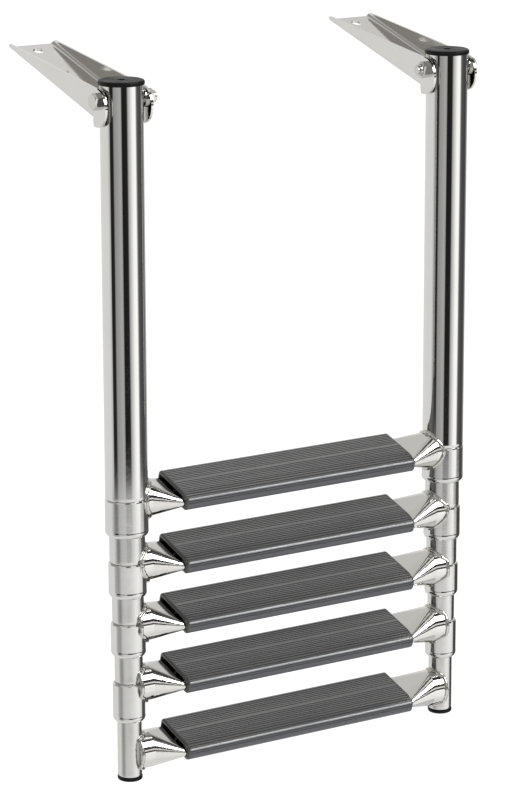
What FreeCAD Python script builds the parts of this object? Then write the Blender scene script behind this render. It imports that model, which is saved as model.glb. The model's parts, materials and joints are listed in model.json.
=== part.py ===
import FreeCAD, Part
import math
import os

from FreeCAD import Vector

# Telescoping boarding ladder for a swim platform, millimetres.
# Frame: the platform's surface is z = 0, +Y points inboard, +X to the right of a climber facing
# inboard. The origin is the centre of the four bracket holes. Each upright is first drawn plumb,
# with the hinge axis at height 0 and the tube hanging down, and is then leaned outboard.

# Driving dimensions
UPRIGHT_SPACING = 339.5       # between the axes of the two uprights
LEAN = 15.5                   # degrees, foot of the ladder outboard of the hinge
TRAVEL = 240.0                # how far each stage slides out of the one above
HINGE_HEIGHT = 18.5           # hinge axis above the platform
SLIDE_FIT = 0.2               # radial clearance of everything that slides
PRESS_FIT = 0.05              # radial clearance of plastic plugs and bushes in their tubes

TUBE_RADIUS = [19.0, 15.9, 14.2, 12.6, 11.0]
TUBE_WALL = [1.5, 1.0, 1.0, 1.0, 1.2]
SEAM_DROP = [353.5, 412.0, 467.8, 524.0, 587.4]    # where tube meets collar, below the hinge
RUNG_SET = 2.8                # rung axes below those seams
COLLAR_RADIUS = [19.3, 17.0, 15.6, 14.5]
COLLAR_BORE = [18.0, 15.6, 14.2, 13.1]
COLLAR_LENGTH = [33.5, 31.0, 30.5, 35.6]
COLLAR_CHAMFER = 1.0          # at the seam, where it leaves a groove
COLLAR_LIP = 0.7              # wall left at the mouth
COLLAR_ROUND = 5.6            # height of the rounding down to the mouth
COLLAR_THROAT = 3.6           # the mouth stays narrow over this height, then widens to the bore
BUSH_SEAT = 8.0               # the bore starts this far above the mouth
BUSH_LIFT = 0.5               # the guide bush stands this far above the bore's lower end
BUSH_SETBACK = 0.1            # and ends this far below the seam
STOP_GAP = 0.5                # left between plug and bush at full travel
TUBE_TOP = 13.0               # upper end of the outer tube above the hinge
FOOT_DROP = 612.2             # lower end of the smallest tube below the hinge
TUBE_END_ROUND = 3.4          # the tubes' lower edges are eased in over this height

# Brackets
SHEET = 2.2
BRACKET_GAP = 43.0            # between the inner faces of the two ears
BRACKET_END = 162.0           # inboard end, from the hinge
BASE_START = 22.5             # outboard end of the base plate, from the hinge
BEND_RADIUS = 5.6             # outside of the sheet's bends
TALL = 60.0                   # more than any height or half width of the bracket
EAR_RADIUS = 16.7
EAR_CENTRE = (1.1, -6.6)      # from the hinge, inboard and up
EAR_STEP = 3.0                # inboard of this the ear's lower edge rises to the platform
EAR_OVERLAP = 2.5             # the ear's arc ends this far outboard of the step
WALL_END_HEIGHT = 5.5         # wall height left at the inboard end
WALL_END_ROUND = 2.0          # the walls' upper corner there is eased over this length,
WALL_END_DROP = 1.2           # from this far below that height
WALL_END_RISE = 0.4           # to this far above it
HOLE_DIAMETER = 10.0
HOLES_FROM_HINGE = (98.5, 148.5)

# Hinge hardware, size M8
BOLT_RADIUS = 4.0
BOLT_LENGTH = 57.0
HEX_ACROSS_FLATS = 13.0
HEAD_HEIGHT = 5.3
HEX_CHAMFER = 0.9             # taken off the corners' radius at the free end
HEX_CHAMFER_SLOPE = 1.6
NUT_HEIGHT = 8.0
NUT_COLLAR_RADIUS = 5.6       # the nut's plain collar, which holds its locking ring
NUT_COLLAR_HEIGHT = 2.0
THREAD_GAP = 0.02             # radial, between the nut and the bolt
WASHER_RADIUS = 8.8
WASHER_BORE = 4.2
SLEEVE_RADIUS = 6.0
SLEEVE_HALF_LENGTH = 19.3
SLEEVE_BORE = BOLT_RADIUS + 0.1

# Caps and feet
CAP_RADIUS = 20.2
CAP_HEIGHT = 4.0
CAP_PLUG = 6.0
FOOT_HEIGHT = 3.3
FOOT_RADIUS = 11.3

# Rungs and treads
ROOT_RADIUS = 17.2            # the rung's round ends
ROOT_START = 4.0              # from the tube axis
FLARE_START = 17.0            # from the tube axis to where the round end starts to flatten
BILL_END = 50.0               # and to where it has become the flat bar
RUNG_WALL = 1.5
END_WALL = 2.5                # closes the rung's hollow where it meets the upright
BAR_FRONT = -21.6             # front and back edges of the bar, from the root's centre
BAR_BACK = 25.0
BAR_HALF_THICKNESS = 2.6
TANGENT_GAP = 0.02            # keeps faces that would only just touch apart
TREAD_LENGTH = 245.5
TREAD_FRONT = -24.4           # nose and back of the tread, from the root's centre
TREAD_REAR = 28.0
TREAD_TOP = 9.0               # top face above the bar's middle
TREAD_NOSE = 6.2              # the nose's lower side below the bar's middle
TREAD_BACK = 5.2              # the back edge's lower side below the bar's middle
BROW = 11.0                   # the top's front edge slopes down over this width
BROW_DROP = 3.0
TREAD_PLATE = 2.9             # thickness above the bar's slot
TREAD_END_ROUND = 2.0
HOOK = 9.0                    # how far the nose and the back fold under the bar
FIT_GAP = 0.3
RAIL_WIDTH = 3.0              # rails inside the tread that rest on the bar
RAIL_INSET = 14.0             # from the tread's ends to the rails' ends
RAIL_GAP = 0.05               # between the rails and the bar
COPE_REACH = 40.0             # more than the rung's height either side of the seam
RIM = 2.6                     # smooth border around the ribbed top
RIB_PITCH = 2.7
GROOVE_WIDTH = 1.1
GROOVE_DEPTH = 0.6
FIRST_GROOVE = 3.4            # back from the nose, on the slope
BLANK_RIB = 9                 # the groove left out, which makes a plain line along the tread
NOSE_GROOVES = (3.4, 1.2)     # grooves in the nose, above the bar's middle

# Plugs in the upper ends of the sliding tubes
PLUG_FLANGE = 12.0            # length of the flange
PLUG_DEPTH = 14.0             # length of the shank
PLUG_WALL = 2.5
PLUG_CHAMFER = 1.0

HINGE = Vector(0, -sum(HOLES_FROM_HINGE) / 2, HINGE_HEIGHT)
X_AXIS = Vector(1, 0, 0)
Z_AXIS = Vector(0, 0, 1)
SIDES = {"left": -1, "right": 1}


def revolve(points):
    """A solid of revolution about Z from (radius, height) points."""
    wire = Part.makePolygon([Vector(r, 0, z) for r, z in points + points[:1]])
    return Part.Face(wire).revolve(Vector(), Z_AXIS, 360)


def rounded_outline(corners):
    """Closed wire in the YZ plane through (y, z, radius) corners, each rounded to its radius."""
    starts = []
    edges = []
    for i, (y, z, radius) in enumerate(corners):
        corner = Vector(0, y, z)
        before = (Vector(0, *corners[i - 1][:2]) - corner).normalize()
        after = (Vector(0, *corners[(i + 1) % len(corners)][:2]) - corner).normalize()
        half = before.getAngle(after) / 2
        setback = radius / math.tan(half)
        starts.append(corner + before * setback)
        if radius:
            bisector = (before + after).normalize()
            middle = corner + bisector * (radius / math.sin(half) - radius)
            finish = corner + after * setback
            edges.append([Part.Arc(starts[-1], middle, finish).toShape(), finish])
        else:
            edges.append([None, corner])
    wire = []
    for i, (arc, finish) in enumerate(edges):
        if arc:
            wire.append(arc)
        wire.append(Part.makeLine(finish, starts[(i + 1) % len(corners)]))
    return Part.Wire(wire)


def x_cylinder(radius, start, length):
    return Part.makeCylinder(radius, length, Vector(start, 0, 0), X_AXIS)


def hexagon(across_flats, start, length):
    """A hexagonal prism along X with its corners turned off at the free end."""
    corner = across_flats / math.sqrt(3)
    points = [Vector(start, corner * math.cos(a), corner * math.sin(a))
              for a in (math.radians(60 * i + 15) for i in range(7))]
    prism = Part.Face(Part.makePolygon(points)).extrude(Vector(length, 0, 0))
    middle = start + length / 2
    half = abs(length) / 2
    outward = 1 if length > 0 else -1
    cone = Part.makeCone(corner + HEX_CHAMFER_SLOPE * half, corner - HEX_CHAMFER, 2 * half,
                         Vector(middle - outward * half, 0, 0), X_AXIS * outward)
    return prism.common(cone)


def place_upright(shape, side):
    """Put a plumb upright's piece on its side and lean it about the hinge."""
    placed = shape.copy()
    placed.translate(Vector(side * UPRIGHT_SPACING / 2, 0, 0))
    placed.rotate(Vector(), X_AXIS, -LEAN)
    placed.translate(HINGE)
    return placed


def place_bracket(shape, side):
    placed = shape.copy()
    placed.translate(HINGE + Vector(side * UPRIGHT_SPACING / 2, 0, 0))
    return placed


def rung_centre(stage):
    lean = math.radians(LEAN)
    drop = SEAM_DROP[stage] + RUNG_SET
    return HINGE + Vector(0, -drop * math.sin(lean), -drop * math.cos(lean))


def tube_upper_end(stage):
    """Height of a tube's upper end: its plug's flange meets the bush after the full travel."""
    if stage == 0:
        return TUBE_TOP
    return TRAVEL + STOP_GAP - SEAM_DROP[stage - 1]


def tube_lower_end(stage):
    return -FOOT_DROP if stage == 4 else -SEAM_DROP[stage]


# Uprights

def tube(stage):
    radius = TUBE_RADIUS[stage]
    bore = radius - TUBE_WALL[stage]
    top = tube_upper_end(stage)
    bottom = tube_lower_end(stage)
    ease = TUBE_END_ROUND
    shape = revolve([(bore, bottom), (radius - 0.85, bottom), (radius - 0.4, bottom + 0.2 * ease),
                     (radius - 0.12, bottom + 0.5 * ease), (radius, bottom + ease), (radius, top),
                     (bore, top)])
    if stage == 0:
        shape = shape.cut(x_cylinder(SLEEVE_RADIUS, -BRACKET_GAP, 2 * BRACKET_GAP))
    return shape


def collar(stage):
    """A turned collar: square shoulder above, rounded mouth below."""
    outer = COLLAR_RADIUS[stage]
    bore = COLLAR_BORE[stage]
    mouth = TUBE_RADIUS[stage + 1] + 2 * SLIDE_FIT
    lip = mouth + COLLAR_LIP
    top = -SEAM_DROP[stage]
    bottom = top - COLLAR_LENGTH[stage]
    shoulder = bottom + COLLAR_ROUND
    throat = bottom + COLLAR_THROAT
    profile = [(mouth, throat), (bore, bottom + BUSH_SEAT), (bore, top),
               (outer - COLLAR_CHAMFER, top), (outer, top - COLLAR_CHAMFER), (outer, shoulder)]
    edges = [Part.makeLine(Vector(a[0], 0, a[1]), Vector(b[0], 0, b[1]))
             for a, b in zip(profile, profile[1:])]
    quarter = math.radians(45)
    middle = Vector(lip + (outer - lip) * math.cos(quarter), 0,
                    shoulder - COLLAR_ROUND * math.sin(quarter))
    edges.append(Part.Arc(Vector(outer, 0, shoulder), middle, Vector(lip, 0, bottom)).toShape())
    edges.append(Part.makeLine(Vector(lip, 0, bottom), Vector(mouth, 0, bottom)))
    edges.append(Part.makeLine(Vector(mouth, 0, bottom), Vector(mouth, 0, throat)))
    return Part.Face(Part.Wire(edges)).revolve(Vector(), Z_AXIS, 360)


def guide_bush(stage):
    outer = COLLAR_BORE[stage] - PRESS_FIT
    bore = TUBE_RADIUS[stage + 1] + SLIDE_FIT
    top = -SEAM_DROP[stage] - BUSH_SETBACK
    bottom = -SEAM_DROP[stage] - COLLAR_LENGTH[stage] + BUSH_SEAT + BUSH_LIFT
    return revolve([(bore, bottom), (outer, bottom), (outer, top), (bore, top)])


def end_plug(stage):
    """Plug in a sliding tube: the shank fills the tube, the flange guides it and is the stop."""
    shank = TUBE_RADIUS[stage] - TUBE_WALL[stage] - PRESS_FIT
    flange = TUBE_RADIUS[stage - 1] - TUBE_WALL[stage - 1] - SLIDE_FIT
    seat = tube_upper_end(stage)
    bore = shank - PLUG_WALL
    top = seat + PLUG_FLANGE
    return revolve([(bore, seat - PLUG_DEPTH), (shank, seat - PLUG_DEPTH), (shank, seat),
                    (flange, seat), (flange, top - PLUG_CHAMFER), (flange - PLUG_CHAMFER, top),
                    (bore, top)])


def top_cap():
    plug = TUBE_RADIUS[0] - TUBE_WALL[0] - PRESS_FIT
    base = TUBE_TOP
    top = base + CAP_HEIGHT
    return revolve([(0, base - CAP_PLUG), (plug - 0.6, base - CAP_PLUG), (plug, base - CAP_PLUG + 1),
                    (plug, base), (CAP_RADIUS - 0.3, base), (CAP_RADIUS, base + 0.4),
                    (CAP_RADIUS, top - 1.4), (CAP_RADIUS - 0.5, top - 0.5),
                    (CAP_RADIUS - 1.6, top), (3.4, top), (3.2, top - 2.4), (0, top - 2.4)])


def foot():
    plug = TUBE_RADIUS[4] - TUBE_WALL[4] - PRESS_FIT
    top = -FOOT_DROP
    bottom = top - FOOT_HEIGHT
    return revolve([(0, bottom), (FOOT_RADIUS - 1.2, bottom), (FOOT_RADIUS - 0.3, bottom + 0.6),
                    (FOOT_RADIUS, bottom + 1.4), (FOOT_RADIUS, top), (plug, top),
                    (plug, top + 10), (plug - 1, top + 11), (0, top + 11)])


def pivot_sleeve():
    length = 2 * SLEEVE_HALF_LENGTH
    outer = x_cylinder(SLEEVE_RADIUS, -SLEEVE_HALF_LENGTH, length)
    return outer.cut(x_cylinder(SLEEVE_BORE, -SLEEVE_HALF_LENGTH, length))


# Brackets and hinge hardware, drawn with the hinge at the origin

def lengthwise_block(half_width, floor, radius, start, finish):
    """A tall block along Y whose two lower edges are rounded."""
    block = Part.makeBox(2 * half_width, finish - start, TALL, Vector(-half_width, start, floor))
    lower = [e for e in block.Edges
             if e.BoundBox.YLength > 1 and e.BoundBox.ZMax < floor + 1]
    return block.makeFillet(radius, lower)


def bracket_outline():
    """Side view of the bracket: round ear outboard, top edge falling to the inboard end."""
    base = -HINGE_HEIGHT
    cy, cz = EAR_CENTRE
    end_top = base + WALL_END_HEIGHT
    reach = math.hypot(BRACKET_END - cy, end_top - cz)
    heading = math.atan2(end_top - cz, BRACKET_END - cy)
    tangent = heading + math.acos(EAR_RADIUS / reach)
    start = Vector(0, cy + EAR_RADIUS * math.cos(tangent), cz + EAR_RADIUS * math.sin(tangent))
    foot_y = EAR_STEP - EAR_OVERLAP
    finish = Vector(0, foot_y, cz - math.sqrt(EAR_RADIUS ** 2 - (foot_y - cy) ** 2))
    outboard = Vector(0, cy - EAR_RADIUS, cz)
    corners = [finish, Vector(0, EAR_STEP, base), Vector(0, BRACKET_END, base),
               Vector(0, BRACKET_END, end_top - WALL_END_DROP),
               Vector(0, BRACKET_END - WALL_END_ROUND, end_top + WALL_END_RISE), start]
    edges = [Part.makeLine(a, b) for a, b in zip(corners, corners[1:])]
    return Part.Face(Part.Wire([Part.Arc(start, outboard, finish).toShape()] + edges))


def bracket():
    """U channel of folded sheet, its walls carried on outboard as the two ears."""
    inner = BRACKET_GAP / 2
    outer = inner + SHEET
    base = -HINGE_HEIGHT
    ear_end = EAR_CENTRE[0] - EAR_RADIUS - 1
    blank = lengthwise_block(outer, base, BEND_RADIUS, EAR_STEP, BRACKET_END)
    ears = Part.makeBox(2 * outer, EAR_STEP - ear_end, TALL, Vector(-outer, ear_end, base - 10))
    hollow = lengthwise_block(inner, base + SHEET, BEND_RADIUS - SHEET, BASE_START, BRACKET_END)
    gap = Part.makeBox(2 * inner, BASE_START - ear_end, 2 * TALL, Vector(-inner, ear_end, -TALL))
    outline = bracket_outline()
    outline.translate(Vector(-TALL, 0, 0))
    shape = blank.fuse(ears).cut(hollow).cut(gap).common(outline.extrude(Vector(2 * TALL, 0, 0)))
    shape = shape.cut(x_cylinder(BOLT_RADIUS + SLIDE_FIT, -TALL, 2 * TALL))
    for y in HOLES_FROM_HINGE:
        shape = shape.cut(Part.makeCylinder(HOLE_DIAMETER / 2, 10, Vector(0, y, base - 2)))
    return shape.removeSplitter()


def hinge_bolt(side):
    """Hexagon bolt with its head on the outer side of the bracket."""
    face = side * (BRACKET_GAP / 2 + SHEET)
    head = hexagon(HEX_ACROSS_FLATS, face, side * HEAD_HEIGHT)
    shank = x_cylinder(BOLT_RADIUS, min(face, face - side * BOLT_LENGTH), BOLT_LENGTH)
    return head.fuse(shank).removeSplitter()


def hinge_nut(side):
    """Self-locking nut on the inner side, with its plain collar outermost."""
    face = -side * (BRACKET_GAP / 2 + SHEET)
    body_height = NUT_HEIGHT - NUT_COLLAR_HEIGHT
    body = hexagon(HEX_ACROSS_FLATS, face, -side * body_height)
    ends = [face - side * body_height, face - side * NUT_HEIGHT]
    ring_collar = x_cylinder(NUT_COLLAR_RADIUS, min(ends), NUT_COLLAR_HEIGHT)
    bore = x_cylinder(BOLT_RADIUS + THREAD_GAP, -TALL, 2 * TALL)
    return body.fuse(ring_collar).cut(bore).removeSplitter()


def hinge_washers():
    """A washer each side of the upright, between the sleeve's end and the ear."""
    start = SLEEVE_HALF_LENGTH + SLIDE_FIT
    thickness = BRACKET_GAP / 2 - start
    washers = []
    for x in (-start - thickness, start):
        disc = x_cylinder(WASHER_RADIUS, x, thickness)
        washers.append(disc.cut(x_cylinder(WASHER_BORE, x, thickness)))
    return Part.makeCompound(washers)


# Rungs and treads, drawn with the rung's middle at the origin and the bar level

def ring(x, y, radius):
    return Part.Wire(Part.makeCircle(radius, Vector(x, y, 0), X_AXIS))


def wedge(start, start_height, finish, finish_height, front, back):
    """The flat-faced part of a flare: an upright line at the root that spreads into the bar."""
    root = [Vector(start, 0, z) for z in (start_height, -start_height)]
    corners = {(y, z): Vector(finish, y, z)
               for y in (front, back) for z in (finish_height, -finish_height)}
    top = [root[0], corners[front, finish_height], corners[back, finish_height]]
    bottom = [root[1], corners[front, -finish_height], corners[back, -finish_height]]
    faces = [top, bottom, [top[1], top[2], bottom[2], bottom[1]],
             [top[0], top[1], bottom[1], bottom[0]], [top[0], top[2], bottom[2], bottom[0]]]
    shell = Part.makeShell([Part.Face(Part.makePolygon(f + f[:1])) for f in faces])
    solid = Part.makeSolid(shell)
    if solid.Volume < 0:
        solid.reverse()
    return solid


def flare(side, inset, start):
    """Duck-bill end of a rung, from its round root to the bar: two slanted cones and a wedge."""
    root_radius = ROOT_RADIUS - inset
    edge_radius = BAR_HALF_THICKNESS - inset
    front = BAR_FRONT + BAR_HALF_THICKNESS
    back = BAR_BACK - BAR_HALF_THICKNESS
    axis = side * UPRIGHT_SPACING / 2
    mouth = max(start, FLARE_START)
    share = (mouth - FLARE_START) / (BILL_END - FLARE_START)
    mouth_radius = root_radius + (edge_radius - root_radius) * share
    x = axis - side * mouth
    bill = axis - side * BILL_END
    cones = [Part.makeLoft([ring(x, y * share, mouth_radius), ring(bill, y, edge_radius)], True, True)
             for y in (front, back)]
    root_x = axis - side * FLARE_START
    shape = cones[0].fuse([cones[1], wedge(root_x, root_radius - TANGENT_GAP, bill,
                                           edge_radius - TANGENT_GAP, front, back)])
    if start < FLARE_START:
        length = FLARE_START - start
        shape = shape.fuse(x_cylinder(root_radius, min(root_x, root_x + side * length), length))
    else:
        keep = Part.makeBox(BILL_END - start, TALL, TALL, Vector(min(x, bill), -TALL / 2, -TALL / 2))
        shape = shape.common(keep)
    return shape


def flattened_tube(inset, start):
    """The rung's outer form, or with an inset the space inside its wall."""
    reach = UPRIGHT_SPACING / 2 - BILL_END
    edge = BAR_HALF_THICKNESS - inset
    bar = Part.Face(rounded_outline([
        (BAR_FRONT + inset, -edge, edge - TANGENT_GAP), (BAR_BACK - inset, -edge, edge - TANGENT_GAP),
        (BAR_BACK - inset, edge, edge - TANGENT_GAP), (BAR_FRONT + inset, edge, edge - TANGENT_GAP)]))
    bar = bar.extrude(Vector(2 * reach, 0, 0))
    bar.translate(Vector(-reach, 0, 0))
    return bar.fuse([flare(side, inset, start) for side in SIDES.values()])


def rung(stage):
    """A flattened tube coped round its uprights: the tube above the seam, the collar below."""
    hollow = flattened_tube(RUNG_WALL, TUBE_RADIUS[stage] + END_WALL)
    shape = flattened_tube(0, ROOT_START).cut(hollow)
    shape.translate(rung_centre(stage))
    for side in SIDES.values():
        upper = TUBE_RADIUS[stage]
        lower = TUBE_RADIUS[stage] if stage == 4 else COLLAR_RADIUS[stage]
        for radius, direction in ((upper, 1), (lower, -1)):
            reach = COPE_REACH * direction
            post = revolve([(0, 0), (radius, 0), (radius, reach), (0, reach)])
            post.translate(Vector(0, 0, -SEAM_DROP[stage]))
            shape = shape.cut(place_upright(post, side))
    return shape.removeSplitter()


def tread():
    """Moulded tread, nose at -Y, with an open slot below that takes the bar."""
    half = TREAD_LENGTH / 2
    front = TREAD_FRONT
    back = TREAD_REAR
    brow = front + BROW
    body = Part.Face(rounded_outline([
        (front, TREAD_TOP - BROW_DROP, 2.2), (brow, TREAD_TOP, 20.0), (back, TREAD_TOP, 4.0),
        (back, -TREAD_BACK, 3.0), (front, -TREAD_NOSE, 4.4)])).extrude(Vector(TREAD_LENGTH, 0, 0))
    body.translate(Vector(-half, 0, 0))
    body = body.makeFillet(TREAD_END_ROUND, [e for e in body.Edges if e.BoundBox.XLength < 0.01])

    slot_front = BAR_FRONT - FIT_GAP
    slot_back = BAR_BACK + FIT_GAP
    slot_floor = -BAR_HALF_THICKNESS - FIT_GAP
    slot_roof = TREAD_TOP - TREAD_PLATE
    slot = Part.Face(rounded_outline([
        (slot_front, slot_roof - BROW_DROP, 1.0), (brow, slot_roof, 0),
        (slot_back, slot_roof, 2.0), (slot_back, slot_floor, 1.0),
        (back - HOOK, slot_floor, 0), (back - HOOK, -2 * TREAD_NOSE, 0),
        (front + HOOK, -2 * TREAD_NOSE, 0), (front + HOOK, slot_floor, 0),
        (slot_front, slot_floor, 1.0)])).extrude(Vector(TREAD_LENGTH, 0, 0))
    slot.translate(Vector(-half, 0, 0))

    rail_floor = BAR_HALF_THICKNESS + RAIL_GAP
    rails = [Part.makeBox(TREAD_LENGTH - 2 * RAIL_INSET, RAIL_WIDTH, slot_roof - rail_floor,
                          Vector(-half + RAIL_INSET, y - RAIL_WIDTH / 2, rail_floor))
             for y in (slot_front / 2, slot_back / 2)]

    groove_length = TREAD_LENGTH - 2 * RIM
    grooves = []
    for i in range(int((back - front - FIRST_GROOVE - RIM) / RIB_PITCH)):
        if i != BLANK_RIB:
            y = front + FIRST_GROOVE + i * RIB_PITCH
            sunk = BROW_DROP * max(0, 1 - (y + GROOVE_WIDTH / 2 - front) / BROW)
            grooves.append(Part.makeBox(groove_length, GROOVE_WIDTH, TALL,
                                        Vector(-half + RIM, y, TREAD_TOP - sunk - GROOVE_DEPTH)))
    for z in NOSE_GROOVES:
        grooves.append(Part.makeBox(groove_length, 2 * GROOVE_DEPTH, GROOVE_WIDTH,
                                    Vector(-half + RIM, front - GROOVE_DEPTH, z)))
    body = body.cut(slot).fuse(rails)
    # the flares' tips run a little way into the tread's ends
    tips = [flare(side, -FIT_GAP, FLARE_START) for side in SIDES.values()]
    return body.cut(tips).cut(Part.makeCompound(grooves))


def export(name, shape):
    shape.exportStep("parts/%s.step" % name)


def main():
    os.makedirs("parts", exist_ok=True)
    for name, side in SIDES.items():
        export("bracket_" + name, place_bracket(bracket(), side))
        export("hinge_bolt_" + name, place_bracket(hinge_bolt(side), side))
        export("hinge_nut_" + name, place_bracket(hinge_nut(side), side))
        export("hinge_washers_" + name, place_bracket(hinge_washers(), side))
        export("pivot_sleeve_" + name, place_upright(pivot_sleeve(), side))
        export("top_cap_" + name, place_upright(top_cap(), side))
        export("foot_" + name, place_upright(foot(), side))
        for stage in range(5):
            number = "%d_%s" % (stage + 1, name)
            export("tube_" + number, place_upright(tube(stage), side))
            if stage < 4:
                export("collar_" + number, place_upright(collar(stage), side))
                export("guide_bush_" + number, place_upright(guide_bush(stage), side))
            if stage > 0:
                export("end_plug_" + number, place_upright(end_plug(stage), side))
    ribbed = tread()
    for stage in range(5):
        export("rung_%d" % (stage + 1), rung(stage))
        export("tread_%d" % (stage + 1), ribbed.translated(rung_centre(stage)))


main()
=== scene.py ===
import json
import math

import bpy
from mathutils import Matrix, Vector


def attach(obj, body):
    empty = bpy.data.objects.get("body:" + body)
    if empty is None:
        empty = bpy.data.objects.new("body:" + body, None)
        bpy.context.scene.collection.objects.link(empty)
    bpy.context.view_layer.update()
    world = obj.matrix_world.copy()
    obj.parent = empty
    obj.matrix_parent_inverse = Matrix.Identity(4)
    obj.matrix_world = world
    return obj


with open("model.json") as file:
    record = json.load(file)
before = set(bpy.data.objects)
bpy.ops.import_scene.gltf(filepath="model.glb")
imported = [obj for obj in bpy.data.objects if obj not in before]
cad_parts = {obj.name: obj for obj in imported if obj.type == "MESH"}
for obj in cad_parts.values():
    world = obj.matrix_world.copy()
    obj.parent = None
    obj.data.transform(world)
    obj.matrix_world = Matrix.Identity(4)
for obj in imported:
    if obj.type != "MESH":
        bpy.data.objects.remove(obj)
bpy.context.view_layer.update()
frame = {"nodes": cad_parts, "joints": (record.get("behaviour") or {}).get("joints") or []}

# The ladder's own facts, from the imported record
JOINTS = {joint["name"]: joint for joint in frame["joints"]}
HINGE = Vector(JOINTS["platform_hinge"]["pos_m"])
DOWN = Vector(JOINTS["stage_2_slide"]["axis"])           # along the uprights, towards the feet
LEAN = math.atan2(-DOWN.y, -DOWN.z)
STAGES = range(1, 6)
SIDES = {"left": -1, "right": 1}

# Camera: how the ladder was seen with its uprights plumb
VIEW_AZIMUTH = math.radians(-31.95)
VIEW_ELEVATION = math.radians(14.14)
VIEW_ROLL = math.radians(-0.17)
VIEW_FROM_HINGE = Vector((-1.5545, -2.4344, 0.4398))     # metres
VIEW_LENS_PER_WIDTH = 6.478627
SENSOR = 36.0

FLOOR_DROP = 1.75              # the floor lies this far under the platform, clear of the open ladder
FLOOR_REACH = 14.0
WARMTH = 0.99                  # blue over red and green in the room's light
STEEL_GRAIN_DEPTH = 0.00002
TREAD_RIM = (0.1192, 0.1212)   # the treads darken between these distances from their middle

# Welds between rungs and uprights, in metres; drops are below the hinge along the upright
UPRIGHT_OFFSET = 0.16975
SEAM_DROP = (0.3535, 0.4120, 0.4678, 0.5240, 0.5874)
ROOT_BELOW_SEAM = 0.0028
ROOT_RADIUS = 0.0172
RADIUS_ABOVE_SEAM = (0.0190, 0.0159, 0.0142, 0.0126, 0.0110)
RADIUS_BELOW_SEAM = (0.0193, 0.0170, 0.0156, 0.0145, 0.0110)
ROOT_TO_AXIS = 0.0042          # nearest the root comes to the upright's axis
BEAD_RADIUS = 0.0017
BEAD_PROUD = 0.0012            # keeps the bead's inner side within the tube's wall
BEAD_POINTS = 120
SEAM_EASE = 0.002              # height over which the bead steps from collar to tube
RIPPLE = 0.10                  # share by which the bead's thickness ripples and swells,
RIPPLES_ROUND = 19             # and how many times round one rung end
SWELL = 0.07
SWELLS_ROUND = 7

PLUMB_TO_LEAN = Matrix.Rotation(-LEAN, 4, "X")


# ---------------------------------------------------------------- node helpers

def new_material(name):
    material = bpy.data.materials.new(name)
    material.use_nodes = True
    tree = material.node_tree
    return material, tree, tree.nodes["Principled BSDF"]


def object_space(tree, scale=(1, 1, 1), rotation=(0, 0, 0)):
    """Object coordinates in metres, stretched and turned to follow the part."""
    coordinates = tree.nodes.new("ShaderNodeTexCoord")
    mapping = tree.nodes.new("ShaderNodeMapping")
    mapping.inputs["Scale"].default_value = scale
    mapping.inputs["Rotation"].default_value = rotation
    tree.links.new(coordinates.outputs["Object"], mapping.inputs["Vector"])
    return mapping.outputs["Vector"]


def noise(tree, vector, scale, detail=3.0, roughness=0.5):
    """Smooth noise between 0 and 1, mostly within 0.3 and 0.7."""
    node = tree.nodes.new("ShaderNodeTexNoise")
    node.inputs["Scale"].default_value = scale
    node.inputs["Detail"].default_value = detail
    node.inputs["Roughness"].default_value = roughness
    tree.links.new(vector, node.inputs["Vector"])
    return node.outputs["Fac"]


def spread(tree, value, low, high, start=0.3, stop=0.7):
    """Go from low to high as a value goes from start to stop, and no further."""
    node = tree.nodes.new("ShaderNodeMapRange")
    node.inputs["From Min"].default_value = start
    node.inputs["From Max"].default_value = stop
    node.inputs["To Min"].default_value = low
    node.inputs["To Max"].default_value = high
    tree.links.new(value, node.inputs["Value"])
    return node.outputs["Result"]


def mix_colours(tree, factor, first, second):
    """Mix of two colours, each a tuple or another node's output."""
    node = tree.nodes.new("ShaderNodeMix")
    node.data_type = "RGBA"
    for socket, colour in ((node.inputs[6], first), (node.inputs[7], second)):
        if isinstance(colour, tuple):
            socket.default_value = (*colour, 1)
        else:
            tree.links.new(colour, socket)
    tree.links.new(factor, node.inputs["Factor"])
    return node.outputs[2]


def product(tree, first, second):
    """The product of an output with another output or a number."""
    node = tree.nodes.new("ShaderNodeMath")
    node.operation = "MULTIPLY"
    tree.links.new(first, node.inputs[0])
    if isinstance(second, float):
        node.inputs[1].default_value = second
    else:
        tree.links.new(second, node.inputs[1])
    return node.outputs[0]


def cosine_to(tree, vector, direction):
    """Cosine between a unit vector and a fixed direction."""
    node = tree.nodes.new("ShaderNodeVectorMath")
    node.operation = "DOT_PRODUCT"
    node.inputs[1].default_value = Vector(direction).normalized()
    tree.links.new(vector, node.inputs[0])
    return node.outputs["Value"]


def add_bump(tree, shader, height, strength, distance):
    """Roughen a surface by a height of 0 to 1, which stands for this distance in metres."""
    node = tree.nodes.new("ShaderNodeBump")
    node.inputs["Strength"].default_value = strength
    node.inputs["Distance"].default_value = distance
    tree.links.new(height, node.inputs["Height"])
    tree.links.new(node.outputs["Normal"], shader.inputs["Normal"])


# ---------------------------------------------------------------- materials

def steel(name, base, smudged, rough_low, rough_high, grain, grain_strength, turn=(0, 0, 0)):
    """Stainless steel: smudges vary the gloss, and fine grain runs along or across the part."""
    material, tree, shader = new_material(name)
    shader.inputs["Metallic"].default_value = 1.0
    plain = object_space(tree)
    smudge = noise(tree, plain, 22.0, 4.0, 0.6)
    tree.links.new(mix_colours(tree, smudge, base, smudged), shader.inputs["Base Color"])
    lines = noise(tree, object_space(tree, grain, turn), 1.0, 2.0, 0.5)
    mixed = product(tree, smudge, spread(tree, lines, 0.85, 1.2))
    tree.links.new(spread(tree, mixed, rough_low, rough_high, 0.35, 0.65),
                   shader.inputs["Roughness"])
    add_bump(tree, shader, lines, grain_strength, STEEL_GRAIN_DEPTH)
    return material


def polished_steel():
    return steel("polished_steel", (0.77, 0.765, 0.755), (0.71, 0.705, 0.69), 0.02, 0.055,
                 (900, 900, 60), 0.10, (LEAN, 0, 0))


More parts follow.
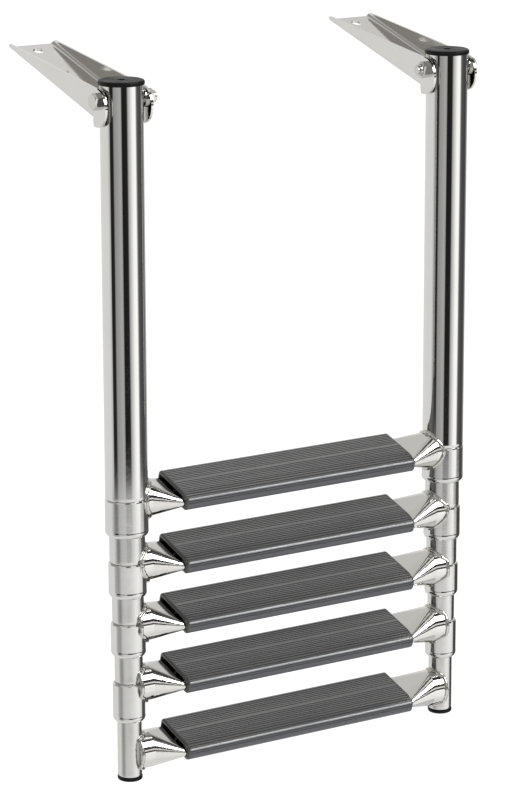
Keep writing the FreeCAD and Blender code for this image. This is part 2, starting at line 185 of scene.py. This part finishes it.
def collar_steel():
    return steel("collar_steel", (0.79, 0.785, 0.775), (0.70, 0.695, 0.68), 0.06, 0.14,
                 (120, 120, 1500), 0.20, (LEAN, 0, 0))


def bracket_steel():
    return steel("bracket_steel", (0.76, 0.755, 0.74), (0.71, 0.70, 0.68), 0.08, 0.16,
                 (900, 60, 900), 0.15)


def satin_steel():
    return steel("satin_steel", (0.77, 0.765, 0.755), (0.68, 0.675, 0.66), 0.12, 0.22,
                 (90, 90, 2400), 0.35, (LEAN, 0, 0))


def rung_steel():
    return steel("rung_steel", (0.80, 0.79, 0.77), (0.72, 0.71, 0.68), 0.04, 0.11,
                 (80, 900, 900), 0.10)


def fastener_steel():
    return steel("fastener_steel", (0.72, 0.71, 0.68), (0.58, 0.57, 0.54), 0.08, 0.20,
                 (600, 600, 600), 0.25)


def weld_steel():
    return steel("weld_steel", (0.80, 0.79, 0.77), (0.58, 0.55, 0.50), 0.06, 0.18,
                 (400, 400, 400), 0.6)


def facing(tree, direction, start, stop):
    """1 where the part's own surface faces a direction, from the cosines start to stop."""
    coordinates = tree.nodes.new("ShaderNodeTexCoord")
    cosine = cosine_to(tree, coordinates.outputs["Normal"], direction)
    return spread(tree, cosine, 0.0, 1.0, start, stop)


def near_ends(tree, start, stop):
    """1 from stop metres either side of the part's middle, 0 within start."""
    split = tree.nodes.new("ShaderNodeSeparateXYZ")
    tree.links.new(object_space(tree), split.inputs["Vector"])
    distance = tree.nodes.new("ShaderNodeMath")
    distance.operation = "ABSOLUTE"
    tree.links.new(split.outputs["X"], distance.inputs[0])
    return spread(tree, distance.outputs[0], 0.0, 1.0, start, stop)


def tread_plastic():
    """Grey plastic: dusty and streaked on top, with painted shade making the nose darker than the
    top, darker at the ends, and a painted highlight along the front top edge.
    """
    material, tree, shader = new_material("tread_plastic")
    along = noise(tree, object_space(tree, (5, 420, 420)), 1.0, 2.0, 0.5)
    patches = noise(tree, object_space(tree), 34.0, 4.0, 0.6)
    grain = noise(tree, object_space(tree), 2600.0, 2.0, 0.6)
    top = mix_colours(tree, spread(tree, along, 0, 1, 0.35, 0.65),
                      (0.108, 0.108, 0.110), (0.158, 0.154, 0.150))
    # painted shade: faces turned away from straight up, the nose most, take a darker, bluish colour
    # than the top
    colour = mix_colours(tree, facing(tree, (0, 0, 1), 0.25, 0.80), (0.066, 0.070, 0.077), top)
    # painted highlight: a pale band along the front top edge, where the key light would glint, its
    # strength varied along the tread by noise
    highlight_variation = noise(tree, object_space(tree, (9, 60, 60)), 1.0, 3.0, 0.6)
    edge = product(tree, facing(tree, (0, -0.72, 0.69), 0.88, 0.96), spread(tree, highlight_variation, 0.45, 1.0))
    colour = mix_colours(tree, edge, colour, (0.46, 0.47, 0.48))
    colour = mix_colours(tree, near_ends(tree, *TREAD_RIM), colour, (0.050, 0.050, 0.052))
    tree.links.new(colour, shader.inputs["Base Color"])
    tree.links.new(spread(tree, patches, 0.28, 0.40), shader.inputs["Roughness"])
    shader.inputs["Coat Weight"].default_value = 0.5
    shader.inputs["Coat Roughness"].default_value = 0.14
    add_bump(tree, shader, grain, 0.15, 0.00006)
    return material


def black_plastic():
    material, tree, shader = new_material("black_plastic")
    patches = noise(tree, object_space(tree), 60.0, 3.0, 0.5)
    grain = noise(tree, object_space(tree), 3000.0, 2.0, 0.6)
    tree.links.new(mix_colours(tree, patches, (0.003, 0.003, 0.003), (0.008, 0.008, 0.009)),
                   shader.inputs["Base Color"])
    tree.links.new(spread(tree, patches, 0.36, 0.52), shader.inputs["Roughness"])
    shader.inputs["Specular IOR Level"].default_value = 0.18
    add_bump(tree, shader, grain, 0.2, 0.00006)
    return material


def nylon():
    material, tree, shader = new_material("nylon")
    patches = noise(tree, object_space(tree), 80.0, 3.0, 0.5)
    grain = noise(tree, object_space(tree), 2000.0, 2.0, 0.6)
    tree.links.new(mix_colours(tree, patches, (0.74, 0.73, 0.69), (0.82, 0.81, 0.77)),
                   shader.inputs["Base Color"])
    tree.links.new(spread(tree, patches, 0.42, 0.58), shader.inputs["Roughness"])
    add_bump(tree, shader, grain, 0.2, 0.00005)
    return material


def floor_paint():
    """A light table: pale paint that glows evenly, so that no edge or shadow shows in it."""
    material, tree, shader = new_material("floor_paint")
    patches = noise(tree, object_space(tree), 0.8, 2.0, 0.5)
    tree.links.new(mix_colours(tree, patches, (0.18, 0.18, 0.18), (0.20, 0.20, 0.20)),
                   shader.inputs["Base Color"])
    shader.inputs["Roughness"].default_value = 0.9
    shader.inputs["Emission Color"].default_value = (1, 1, 1, 1)
    shader.inputs["Emission Strength"].default_value = 0.92
    return material


def dress(node, material):
    data = frame["nodes"][node].data
    data.materials.clear()
    data.materials.append(material)


def dress_all():
    polished = polished_steel()
    satin = satin_steel()
    collar = collar_steel()
    bracket = bracket_steel()
    rung = rung_steel()
    fastener = fastener_steel()
    tread = tread_plastic()
    black = black_plastic()
    white = nylon()
    for side in SIDES:
        dress("bracket_" + side, bracket)
        for part in ("hinge_bolt_", "hinge_nut_", "hinge_washers_", "pivot_sleeve_"):
            dress(part + side, fastener)
        dress("top_cap_" + side, black)
        dress("foot_" + side, black)
        for stage in STAGES:
            dress("tube_%d_%s" % (stage, side), polished if stage == 1 else satin)
            if stage < 5:
                dress("collar_%d_%s" % (stage, side), collar)
                dress("guide_bush_%d_%s" % (stage, side), white)
            if stage > 1:
                dress("end_plug_%d_%s" % (stage, side), white)
    for stage in STAGES:
        dress("rung_%d" % stage, rung)
        dress("tread_%d" % stage, tread)


# ---------------------------------------------------------------- welds

def weld_point(stage, side, angle):
    """Where the rung's round root meets the upright, seen from the hinge with the upright plumb."""
    y = ROOT_RADIUS * math.cos(angle)
    above = ROOT_RADIUS * math.sin(angle) - ROOT_BELOW_SEAM
    share = min(max(above / SEAM_EASE + 0.5, 0.0), 1.0)
    upper = RADIUS_ABOVE_SEAM[stage - 1]
    lower = RADIUS_BELOW_SEAM[stage - 1]
    radius = lower + (upper - lower) * share + BEAD_PROUD
    surface = math.sqrt(max(radius ** 2 - y ** 2, 0.0))
    x = SIDES[side] * (UPRIGHT_OFFSET - max(surface, ROOT_TO_AXIS))
    return Vector((x, y, above - SEAM_DROP[stage - 1]))


def weld_bead(stage, side, material):
    """A polished bead laid round one end of a rung, a little uneven along its length."""
    curve = bpy.data.curves.new("weld", "CURVE")
    curve.dimensions = "3D"
    curve.bevel_depth = BEAD_RADIUS
    curve.bevel_resolution = 4
    line = curve.splines.new("POLY")
    line.points.add(BEAD_POINTS - 1)
    line.use_cyclic_u = True
    for i, point in enumerate(line.points):
        angle = 2 * math.pi * i / BEAD_POINTS
        place = PLUMB_TO_LEAN @ weld_point(stage, side, angle) + HINGE
        point.co = (*place, 1)
        ripple = RIPPLE * math.sin(RIPPLES_ROUND * angle)
        swell = SWELL * math.sin(SWELLS_ROUND * angle + stage)
        point.radius = 1 + ripple + swell
    curve.materials.append(material)
    bead = bpy.data.objects.new("weld_%d_%s" % (stage, side), curve)
    bpy.context.scene.collection.objects.link(bead)
    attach(bead, "stage_%d" % stage)


def lay_welds():
    material = weld_steel()
    for side in SIDES:
        for stage in STAGES:
            weld_bead(stage, side, material)


# ---------------------------------------------------------------- studio

def patch(tree, vector, direction, edge, core):
    """1 within core degrees of a direction, falling to 0 at edge degrees from it."""
    return spread(tree, cosine_to(tree, vector, direction), 0.0, 1.0,
                  math.cos(math.radians(edge)), math.cos(math.radians(core)))


def level_ramp(tree, value, start, stop, levels):
    """Brightness as a value goes from start to stop, from (value, level) pairs in rising order."""
    ramp = tree.nodes.new("ShaderNodeValToRGB")
    elements = ramp.color_ramp.elements
    while len(elements) < len(levels):
        elements.new(0.5)
    for element, (at, level) in zip(elements, levels):
        element.position = (at - start) / (stop - start)
        element.color = (level, level, level * WARMTH, 1)
    tree.links.new(spread(tree, value, 0.0, 1.0, start, stop), ramp.inputs["Fac"])
    return ramp.outputs["Color"]


def compass(tree, split):
    """Degrees about the uprights: 0 is straight outboard, positive towards a climber's right."""
    outboard = product(tree, split.outputs["Y"], -1.0)
    angle = tree.nodes.new("ShaderNodeMath")
    angle.operation = "ARCTAN2"
    tree.links.new(split.outputs["X"], angle.inputs[0])
    tree.links.new(outboard, angle.inputs[1])
    return spread(tree, angle.outputs[0], -180.0, 180.0, -math.pi, math.pi)


def strips(tree, turn, height):
    """Light and dark strips round the uprights, one set over the other."""
    upper = level_ramp(tree, turn, -180, 180, [
        (-180, 0.85), (-112, 0.85), (-100, 0.60), (-95, 0.02), (-78, 0.02), (-72, 0.35),
        (-40, 0.50), (-34, 0.42), (-30, 0.015), (-4, 0.02), (4, 0.55), (14, 0.80),
        (26, 1.20), (44, 1.30), (52, 0.30), (58, 0.11), (90, 0.06), (104, 0.16),
        (124, 0.55), (150, 0.85), (180, 0.85)])
    lower = level_ramp(tree, turn, -180, 180, [
        (-180, 0.80), (-120, 0.85), (-104, 0.45), (-84, 0.38), (-66, 0.70), (-30, 0.80),
        (6, 0.95), (40, 1.10), (68, 0.95), (76, 0.08), (120, 0.05), (128, 0.60), (180, 0.80)])
    return mix_colours(tree, spread(tree, height, 0.0, 1.0, -0.279, -0.265), lower, upper)


def front_bands(tree, around, height, level):
    """In front, dark and light bands lie one above another, over the level of the strips."""
    bands = level_ramp(tree, height, -0.2, 1, [
        (-0.2, 0.03), (0.02, 0.03), (0.05, 0.90), (0.15, 0.95), (0.18, 0.03), (0.45, 0.03),
        (0.48, 0.95), (0.64, 0.95), (0.68, 0.03), (0.83, 0.04), (0.86, 0.90), (0.93, 0.90),
        (0.955, 0.06), (1.0, 0.05)])
    front = product(tree, patch(tree, around, (0.35, -0.75, 0.56), 56, 48),
                    spread(tree, height, 0.0, 1.0, -0.14, -0.09))
    return mix_colours(tree, front, level, bands)


def wrap_light(tree):
    """Brightness of the room by direction, laid out with the uprights plumb."""
    coordinates = tree.nodes.new("ShaderNodeTexCoord")
    upright = tree.nodes.new("ShaderNodeMapping")
    upright.inputs["Rotation"].default_value = (LEAN, 0, 0)
    tree.links.new(coordinates.outputs["Generated"], upright.inputs["Vector"])
    around = upright.outputs["Vector"]
    split = tree.nodes.new("ShaderNodeSeparateXYZ")
    tree.links.new(around, split.inputs["Vector"])
    height = split.outputs["Z"]
    level = strips(tree, compass(tree, split), height)
    # a dim ceiling and a bright floor
    level = mix_colours(tree, spread(tree, height, 0.0, 1.0, 0.60, 0.85), level, (0.66, 0.66, 0.65))
    level = mix_colours(tree, spread(tree, height, 0.0, 1.0, -0.55, -0.85), level, (0.85, 0.85, 0.84))
    level = front_bands(tree, around, height, level)
    # a dark screen behind on the left, and the key light in front on the right
    screen = patch(tree, around, (-0.51, 0.582, 0.633), 30, 20)
    level = mix_colours(tree, screen, level, (0.36, 0.345, 0.33))
    key = patch(tree, around, (0.513, -0.632, 0.579), 14, 9)
    return mix_colours(tree, key, level, (10.0, 10.0, 10.0))


def studio_world():
    """A pale room for the camera; for everything else, a wrap of light with dark strips in it."""
    world = bpy.data.worlds.new("studio")
    world.use_nodes = True
    bpy.context.scene.world = world
    tree = world.node_tree
    tree.nodes.clear()
    wrap = tree.nodes.new("ShaderNodeBackground")
    tree.links.new(wrap_light(tree), wrap.inputs["Color"])
    pale = tree.nodes.new("ShaderNodeBackground")
    pale.inputs["Color"].default_value = (1, 1, 1, 1)
    path = tree.nodes.new("ShaderNodeLightPath")
    choose = tree.nodes.new("ShaderNodeMixShader")
    tree.links.new(path.outputs["Is Camera Ray"], choose.inputs[0])
    tree.links.new(wrap.outputs[0], choose.inputs[1])
    tree.links.new(pale.outputs[0], choose.inputs[2])
    output = tree.nodes.new("ShaderNodeOutputWorld")
    tree.links.new(choose.outputs[0], output.inputs["Surface"])


def floor():
    mesh = bpy.data.meshes.new("floor")
    corners = [(x * FLOOR_REACH, y * FLOOR_REACH, -FLOOR_DROP)
               for x, y in ((-1, -1), (1, -1), (1, 1), (-1, 1))]
    mesh.from_pydata(corners, [], [(0, 1, 2, 3)])
    mesh.materials.append(floor_paint())
    plane = bpy.data.objects.new("floor", mesh)
    bpy.context.scene.collection.objects.link(plane)
    plane.visible_glossy = False


def soft_light(name, place, target, size, watts):
    data = bpy.data.lights.new(name, "AREA")
    data.shape = "RECTANGLE"
    data.size, data.size_y = size
    data.energy = watts
    light = bpy.data.objects.new(name, data)
    light.location = place
    light.rotation_euler = (Vector(target) - Vector(place)).to_track_quat("-Z", "Y").to_euler()
    light.visible_glossy = False
    bpy.context.scene.collection.objects.link(light)


def lights():
    middle = (0, HINGE.y - 0.08, -0.3)
    soft_light("fill", (-1.6, -2.2, 1.6), middle, (1.6, 1.6), 12)
    soft_light("back", (0.9, 2.0, 1.3), middle, (1.6, 1.6), 14)


def camera():
    """The camera stood off a plumb ladder; the ladder leans here, so the camera leans with it."""
    back = Vector((math.sin(VIEW_AZIMUTH) * math.cos(VIEW_ELEVATION),
                   -math.cos(VIEW_AZIMUTH) * math.cos(VIEW_ELEVATION), math.sin(VIEW_ELEVATION)))
    right = Vector((math.cos(VIEW_AZIMUTH), math.sin(VIEW_AZIMUTH), 0))
    up = back.cross(right)
    level = Matrix((right, up, back)).transposed().to_4x4()
    rolled = level @ Matrix.Rotation(VIEW_ROLL, 4, "Z")
    data = bpy.data.cameras.new("camera")
    data.sensor_fit = "HORIZONTAL"
    data.sensor_width = SENSOR
    data.lens = SENSOR * VIEW_LENS_PER_WIDTH
    data.clip_end = 60
    view = bpy.data.objects.new("camera", data)
    plumb = Matrix.Translation(VIEW_FROM_HINGE) @ rolled
    view.matrix_world = Matrix.Translation(HINGE) @ PLUMB_TO_LEAN @ plumb
    bpy.context.scene.collection.objects.link(view)
    bpy.context.scene.camera = view


# ---------------------------------------------------------------- the scene

bpy.context.scene.view_settings.view_transform = "Standard"
camera()
studio_world()
floor()
lights()
dress_all()
lay_welds()
